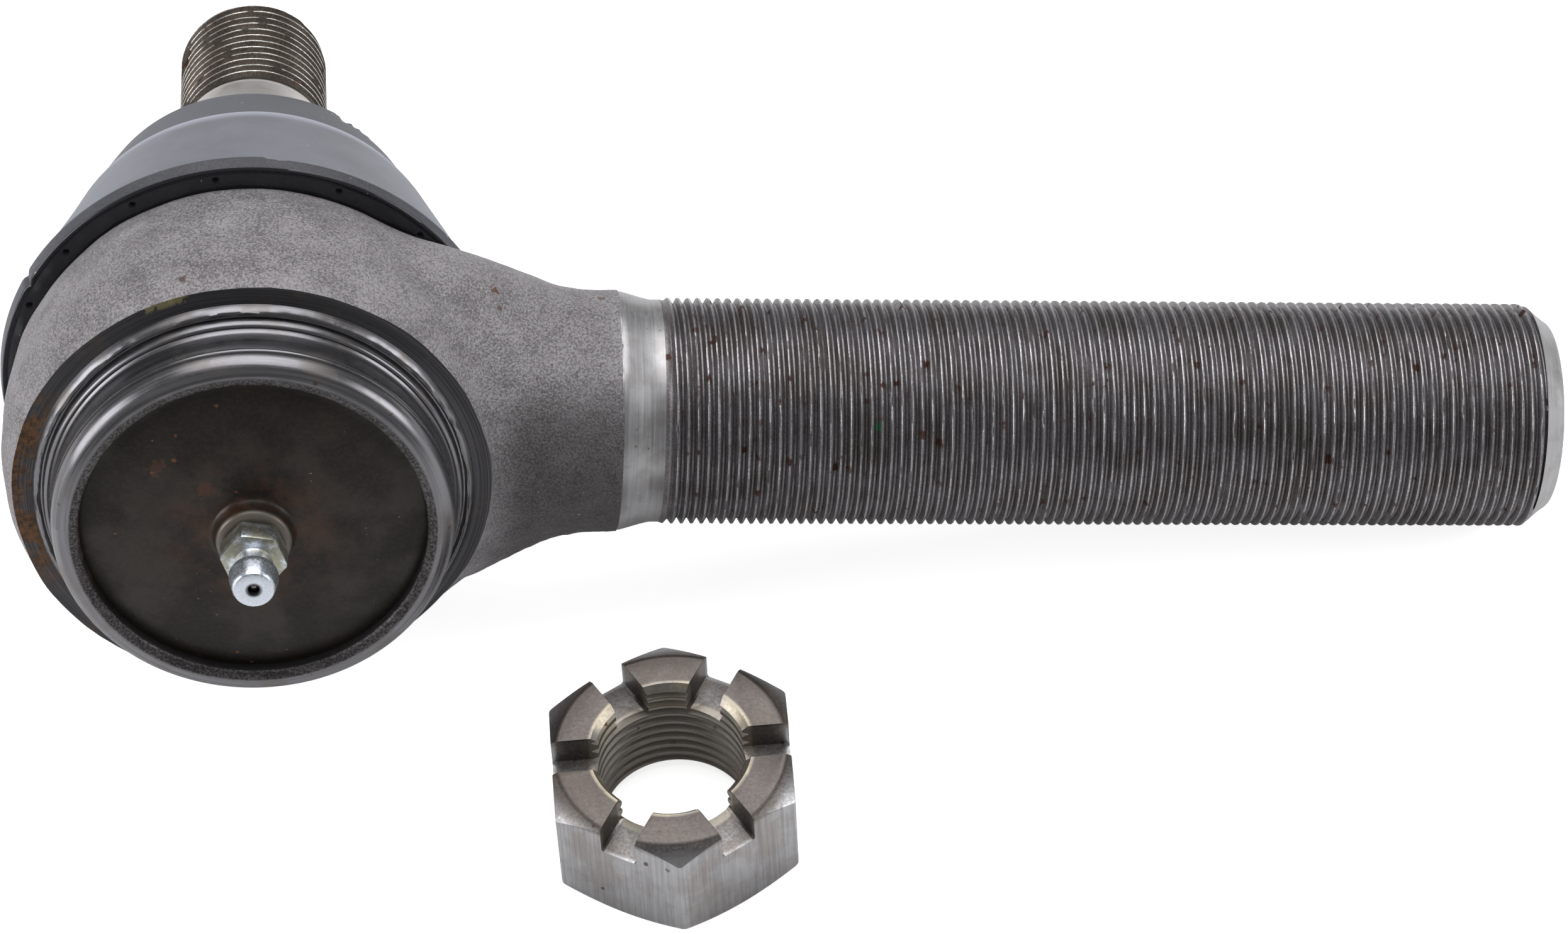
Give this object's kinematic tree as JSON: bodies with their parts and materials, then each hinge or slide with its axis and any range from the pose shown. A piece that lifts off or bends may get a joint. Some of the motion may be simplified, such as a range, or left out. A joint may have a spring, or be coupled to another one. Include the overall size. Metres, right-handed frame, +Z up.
{
  "type": "tie rod end",
  "caption": "Heavy greasable tie rod end: forged socket on a long threaded shank, tapered ball stud, rubber dust boot, grease fitting and a loose slotted nut.",
  "frame": {"origin": "centre of the ball, which is where the stud swivels", "axes": "+Z is up as the part lies on a bench on its boot, stud tip and shank end; +X runs along the shank as seen from above, towards its free end; +Y is the way the stud points, as seen from above"},
  "size_m": [0.2191, 0.164, 0.0733],
  "materials": {
    "forging": "shot-blasted forging, oiled",
    "stud_steel": "machined, dull",
    "bearing_steel": "ground",
    "spring_steel": "dark",
    "seal_rubber": "satin",
    "plate_steel": "black oxide, oily",
    "zinc_plate": "bright zinc plate",
    "boot_rubber": "satin with mould marks",
    "bush_plastic": "plain",
    "nut_steel": "machined, oiled"
  },
  "bodies": {
    "root": {"socket_forging": "forging", "upper_bearing": "bearing_steel", "lower_bearing": "bearing_steel", "preload_spring": "spring_steel", "spring_seat": "spring_steel", "cover_seal": "seal_rubber", "cover_plate": "plate_steel", "grease_fitting": "zinc_plate", "grease_check_spring": "spring_steel"},
    "boot_swivel": {"dust_boot": "boot_rubber", "boot_base_ring": "spring_steel"},
    "boot_neck": {"boot_neck_ring": "bush_plastic"},
    "stud": {"ball_stud": "stud_steel"},
    "check_ball": {"grease_check_ball": "bearing_steel"},
    "nut": {"castle_nut": "nut_steel"}
  },
  "joints": [
    {"name": "stud_swivel", "type": "hinge", "parent": "root", "child": "boot_swivel", "pos_m": [0, 0, 0], "axis": [-0.0315, 0.9617, -0.2722], "continuous": true},
    {"name": "stud_lean", "type": "hinge", "parent": "boot_swivel", "child": "boot_neck", "pos_m": [0, 0, 0], "axis": [-0.1105, -0.274, -0.9554], "range_deg": [-16, 16], "deforming": ["dust_boot"]},
    {"name": "stud_spin", "type": "hinge", "parent": "boot_neck", "child": "stud", "pos_m": [0, 0, 0], "axis": [-0.0315, 0.9617, -0.2722], "continuous": true},
    {"name": "check_ball_push", "type": "slide", "parent": "root", "child": "check_ball", "axis": [-0.0315, 0.9617, -0.2722], "range_m": [0, 0.0009], "stiffness_N_per_m": 120, "springref_m": -0.002, "deforming": ["grease_check_spring"]},
    {"name": "nut_lift", "type": "slide", "parent": "root", "child": "nut", "axis": [0, 0, 1], "range_m": [0, 0.06]}
  ]
}
